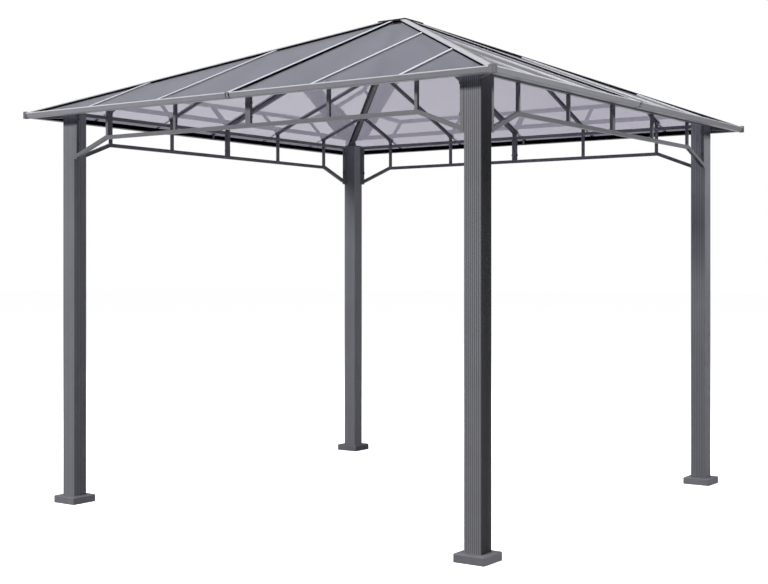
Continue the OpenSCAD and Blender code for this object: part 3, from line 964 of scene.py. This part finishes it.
@dataclass
class RoofSkin:
    """Panels, the covers over their joints, the rubber beside the covers, and the cap."""

    hip_plate: float = 0.048
    centre_plate: float = 0.022
    overhang: float = 3 * MM
    plate_level: float = 5.4 * MM
    shy: float = 0.4 * MM

    def build(self) -> None:
        """Dresses the roof and adds its rubber."""
        dress([f"roof_panels_{side.label}" for side in Side], GLAZING.build())
        dress([f"joint_covers_{side.label}" for side in Side], JOINT_PAINT.build())
        dress([f"hip_cover_{corner.label}" for corner in Corner], HIP_PAINT.build())
        dress(["apex_cap"], CAP_PLASTIC.build())
        rubber = SEAL_RUBBER_AND_SHADE.build()
        for side in Side:
            self._rubber(side, f"centre_cover_rubber_{side.label}", self.centre_plate, rubber)
            self._rubber(side, f"hip_cover_rubber_{side.label}", self.hip_plate, rubber, hip=True)
            LOG.info("roof seals on the %s", side.label)

    def _rubber(self, side: Side, name: str, plate: float, material: bpy.types.Material,
                hip: bool = False) -> None:
        """Adds the strips beside a side's middle cover, or beside its two hip covers.

        Args:
            side: The side.
            name: Name of the piece.
            plate: Width of the cover.
            material: The rubber.
            hip: True for the strips that follow the hips.
        """
        build = MeshBuilder(side.turn)
        ends = (LAYOUT.cap_r + LAYOUT.fit, LAYOUT.panel_out - self.shy)
        insets = (plate / 2 - self.overhang, plate / 2 - self.shy)
        for hand in (-1, 1):
            outline = []
            for reach, order in zip(ends, (insets, insets[::-1])):
                for inset in order:
                    across = reach - inset * math.sqrt(2) if hip else inset
                    outline.append((hand * across, -reach))
            build.slope_prism(outline, self.shy, self.plate_level)
        build.finish(name, material)


@dataclass
class Eaves:
    """Fascias, their joint pieces and end plates, and the corner connectors."""

    gap: float = 0.026
    joint_w: float = 0.013
    corner_w: float = 0.028
    lip_gap: float = 1.5 * MM
    lip_face: float = 6 * MM
    lean: float = 7 * MM
    chamfer: float = 3 * MM
    width: float = 0.044
    trim_t: float = 1 * MM
    plate_t: float = 5 * MM

    def build(self) -> None:
        """Dresses the eaves and adds the lip strips painted lighter as a highlight, the black end
        plates that are partly painted shade, and black strips of painted shade on the inner faces.
        """
        paint = FASCIA_PAINT.build()
        dress([f"fascia_{side.label}" for side in Side] + ["fascia_joints"], paint)
        dress(["corner_connectors"], CORNER_PLASTIC.build())
        lip = LIP_HIGHLIGHT_PAINT.build()
        # the eaves' black: end plates that are partly painted shade in the joint gaps, and painted
        # shade on the fascias' inner faces
        rubber = SEAL_RUBBER_AND_SHADE.build()
        for side in Side:
            self._lip_painted_highlight(side, lip)
            # black end plates that fill the joint gaps: partly painted shade
            self._end_plates_and_gap_shade(side, rubber)
            # black strips on the fascias' inner faces: painted shade
            self._inner_shade(side, rubber)
            LOG.info("eave on the %s", side.label)

    @property
    def top(self) -> float:
        """Height of the top of the lips."""
        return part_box("fascia_front")[1].z

    @property
    def low(self) -> float:
        """Height of the underside of the fascias."""
        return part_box("fascia_front")[0].z

    @property
    def lip_r(self) -> float:
        """Distance from the centre to the face of the lips."""
        return LAYOUT.roof_r - self.lip_gap

    def _halves(self) -> list[tuple[float, float]]:
        """Ends of a fascia's two halves along its side."""
        near = self.gap / 2
        far = LAYOUT.roof_r - self.corner_w - LAYOUT.fit
        return [(-far, -near), (near, far)]

    def _lip_painted_highlight(self, side: Side, material: bpy.types.Material) -> None:
        """Adds thin strips on the faces of a side's lips, painted lighter: a painted highlight
        along the fascia's top edge.
        """
        build = MeshBuilder(side.turn)
        face = self.lip_r
        proud = face + self.trim_t
        low = self.top - self.lip_face
        section = [(face, low), (proud, low + 0.5 * MM), (proud, self.top - 1.2 * MM),
                   (proud - 0.6 * MM, self.top - 0.3 * MM), (face, self.top)]
        for start, end in self._halves():
            build.bar(section, start, end)
        build.finish(f"fascia_lip_{side.label}", material)

    def _end_plates_and_gap_shade(self, side: Side, material: bpy.types.Material) -> None:
        """Adds the black plates that close the two halves in the middle of a side. They fill the
        gap beside the joint piece, so their black is partly painted shade in that gap.
        """
        build = MeshBuilder(side.turn)
        face = self.lip_r - 0.5 * MM
        inner = self.lip_r - self.width + 1 * MM
        section = [(face, self.top - 0.5 * MM), (face, self.top - self.lip_face),
                   (face - self.lean, self.low + self.chamfer),
                   (face - self.lean - self.chamfer, self.low + 0.5 * MM),
                   (inner, self.low + 0.5 * MM), (inner, self.low + 0.6 * (self.top - self.low))]
        for hand in (-1, 1):
            near = hand * (self.joint_w / 2 + LAYOUT.fit)
            far = hand * (self.gap / 2 - LAYOUT.fit)
            build.bar(section, near, far)
        build.finish(f"fascia_end_plates_{side.label}", material)

    def _inner_shade(self, side: Side, material: bpy.types.Material) -> None:
        """Adds black strips along the inner faces of a side's fascias: painted shade for the shadow
        inside the eave.
        """
        build = MeshBuilder(side.turn)
        inner = self.lip_r - self.width
        rise = LAYOUT.slope_z(inner) - self.low
        top = self.low + rise - 8 * MM
        low = self.low + self.chamfer
        ridge = inner - 0.8 * MM
        section = [(inner, low), (ridge, low + 0.8 * MM), (ridge, top - 0.8 * MM), (inner, top)]
        for start, end in self._halves():
            near = start if abs(start) < abs(end) else math.copysign(inner - 1 * MM, start)
            far = end if abs(end) < abs(start) else math.copysign(inner - 1 * MM, end)
            build.bar(section, near, far)
        build.finish(f"fascia_inner_shade_{side.label}", material)


# ---------------- studio


@dataclass
class Lamp:
    """One soft area light."""

    name: str
    place: tuple[float, float, float]
    aim: tuple[float, float, float]
    size: float
    power: float
    colour: Colour = (1.0, 1.0, 1.0)
    spread: float = math.pi
    lit: tuple[str, ...] = ()

    def build(self) -> None:
        """Adds the light, unseen by the camera, for every piece or only for those named."""
        data = bpy.data.lights.new(self.name, "AREA")
        data.size = self.size
        data.energy = self.power
        data.color = self.colour
        data.spread = self.spread
        lamp = bpy.data.objects.new(self.name, data)
        if self.lit:
            group = bpy.data.collections.new(f"lit_by_{self.name}")
            for name in self.lit:
                group.objects.link(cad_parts.get(name) or bpy.data.objects[name])
            lamp.light_linking.receiver_collection = group
        lamp.location = self.place
        towards = Vector(self.aim) - Vector(self.place)
        lamp.rotation_euler = towards.to_track_quat("-Z", "Y").to_euler()
        lamp.visible_camera = False
        bpy.context.scene.collection.objects.link(lamp)


@dataclass
class Studio:
    """Plain pale floor, soft light and the camera."""

    floor_half: float = 60.0
    floor_shade: float = 0.9
    floor_return: float = 0.03
    floor_glow: float = 0.95
    floor_gloss_cut: float = 0.45
    sky_return: float = 0.04
    focal_length: float = 61.93
    sensor: float = 36.0
    camera_place: tuple[float, float, float] = (4.312, -6.309, 1.2895)
    camera_heading: float = math.radians(35.0766)
    camera_rise: float = -0.0298
    lamps: list[Lamp] = field(default_factory=lambda: [
        Lamp("key", (-3.0, -11.0, 4.7), (0, 0, 1.2), 1.2, 1200),
        Lamp("overhead", (0, 0, 9.0), (0, 0, 0), 8.0, 900),
        Lamp("side", (4.5, 2.5, 3.05), (1.34, 1.0, 1.4), 0.8, 160,
             lit=("post_back_right", "truss_right_front", "truss_right_back")),
        Lamp("inner", (3.0, 0.6, 1.4), (-1.3, 0.3, 1.3), 0.8, 56,
             lit=("post_front_left", "post_back_left")),
        Lamp("beam", (1.2, -0.7, 2.3), (1.3, 1.25, 2.0), 0.4, 3.0, spread=0.9,
             lit=("post_back_right",)),
        Lamp("eave", (6.5, -2.0, 3.6), (1.5, -0.5, 2.0), 2.0, 350,
             lit=("fascia_right", "fascia_lip_right", "fascia_joints", "corner_connectors",
                  "base_front_left", "base_front_right", "base_back_right")),
    ])

    def build(self) -> None:
        """Adds the floor, the world, the lights and the camera."""
        self._floor()
        self._world()
        for lamp in self.lamps:
            lamp.build()
        self._camera()
        LOG.info("studio")

    def _floor(self) -> None:
        """Adds the floor, which gives back less light than it shows."""
        half = self.floor_half
        data = bpy.data.meshes.new("floor")
        data.from_pydata([(-half, -half, 0), (half, -half, 0), (half, half, 0), (-half, half, 0)],
                         [], [(0, 1, 2, 3)])
        floor = bpy.data.objects.new("floor", data)
        bpy.context.scene.collection.objects.link(floor)
        material = bpy.data.materials.new("floor")
        material.use_nodes = True
        graph = Graph(material.node_tree)
        material.node_tree.nodes.clear()
        path = graph.node("LightPath")
        shade = graph.mix(path.outputs["Is Diffuse Ray"], (*[self.floor_shade] * 3, 1),
                          (*[self.floor_return] * 3, 1))
        diffuse = graph.fill(graph.node("BsdfDiffuse"), Color=shade)
        glow = graph.fill(graph.node("Emission"), Strength=self.floor_glow)
        dark = graph.fill(graph.node("Emission"), Strength=0.0)
        hidden = graph.math("MAXIMUM", path.outputs["Is Diffuse Ray"],
                            graph.times(path.outputs["Is Glossy Ray"], self.floor_gloss_cut))
        both = graph.node("AddShader")
        graph.feed(both.inputs[0], diffuse.outputs[0])
        graph.feed(both.inputs[1], graph.blend(hidden, glow, dark).outputs[0])
        graph.fill(graph.node("OutputMaterial"), Surface=both.outputs[0])
        data.materials.append(material)

    def _world(self) -> None:
        """Makes the background white, and what shines back from it an uneven grey.

        The grey is palest towards the horizon, darker overhead and to the right, and dimmer
        again low behind the gazebo, as between the walls of a studio.
        """
        world = bpy.data.worlds.new("studio")
        bpy.context.scene.world = world
        world.use_nodes = True
        graph = Graph(world.node_tree)
        world.node_tree.nodes.clear()
        path = graph.node("LightPath")
        where = graph.place("Generated")
        east = graph.axis(where, "X")
        rise = graph.axis(where, "Z")
        horizon = graph.times(graph.remap(rise, 0.3, 0.9, 0.49, 0.22),
                              graph.remap(east, 0.0, 0.35, 1.0, 0.2))
        dim = graph.times(graph.remap(rise, 0.3, 0.42, 0.42, 0.0), graph.remap(east, -0.75, -0.55))
        horizon = graph.times(horizon, graph.minus(1.0, dim))
        direct = graph.math("MAXIMUM", path.outputs["Is Camera Ray"],
                            path.outputs["Is Transmission Ray"])
        other = graph.plus(graph.times(path.outputs["Is Glossy Ray"], horizon),
                           graph.times(path.outputs["Is Diffuse Ray"], self.sky_return))
        tint = graph.mix(graph.remap(rise, 0.22, 0.45), (1.01, 0.98, 1.03, 1),
                         (0.93, 0.96, 1.06, 1))
        back = graph.fill(graph.node("Background"),
                          Color=graph.mix(path.outputs["Is Glossy Ray"], (1, 1, 1, 1), tint),
                          Strength=graph.math("MAXIMUM", direct, other))
        graph.fill(graph.node("OutputWorld"), Surface=back.outputs[0])

    def _camera(self) -> None:
        """Adds the camera."""
        data = bpy.data.cameras.new("camera")
        data.lens = self.focal_length
        data.sensor_width = self.sensor
        data.shift_y = self.camera_rise
        camera = bpy.data.objects.new("camera", data)
        camera.location = self.camera_place
        camera.rotation_euler = (math.pi / 2, 0, self.camera_heading)
        bpy.context.scene.collection.objects.link(camera)
        bpy.context.scene.camera = camera
        bpy.context.scene.view_settings.view_transform = "Standard"


def main() -> None:
    """Builds the studio and every sub-assembly, in order."""
    logging.basicConfig(level=logging.INFO, format="%(name)s: %(message)s")
    Posts().build()
    BaseCovers().build()
    Trusses().build()
    RoofFrame().build()
    RoofSkin().build()
    Eaves().build()
    Studio().build()


if __name__ == "__main__":
    main()
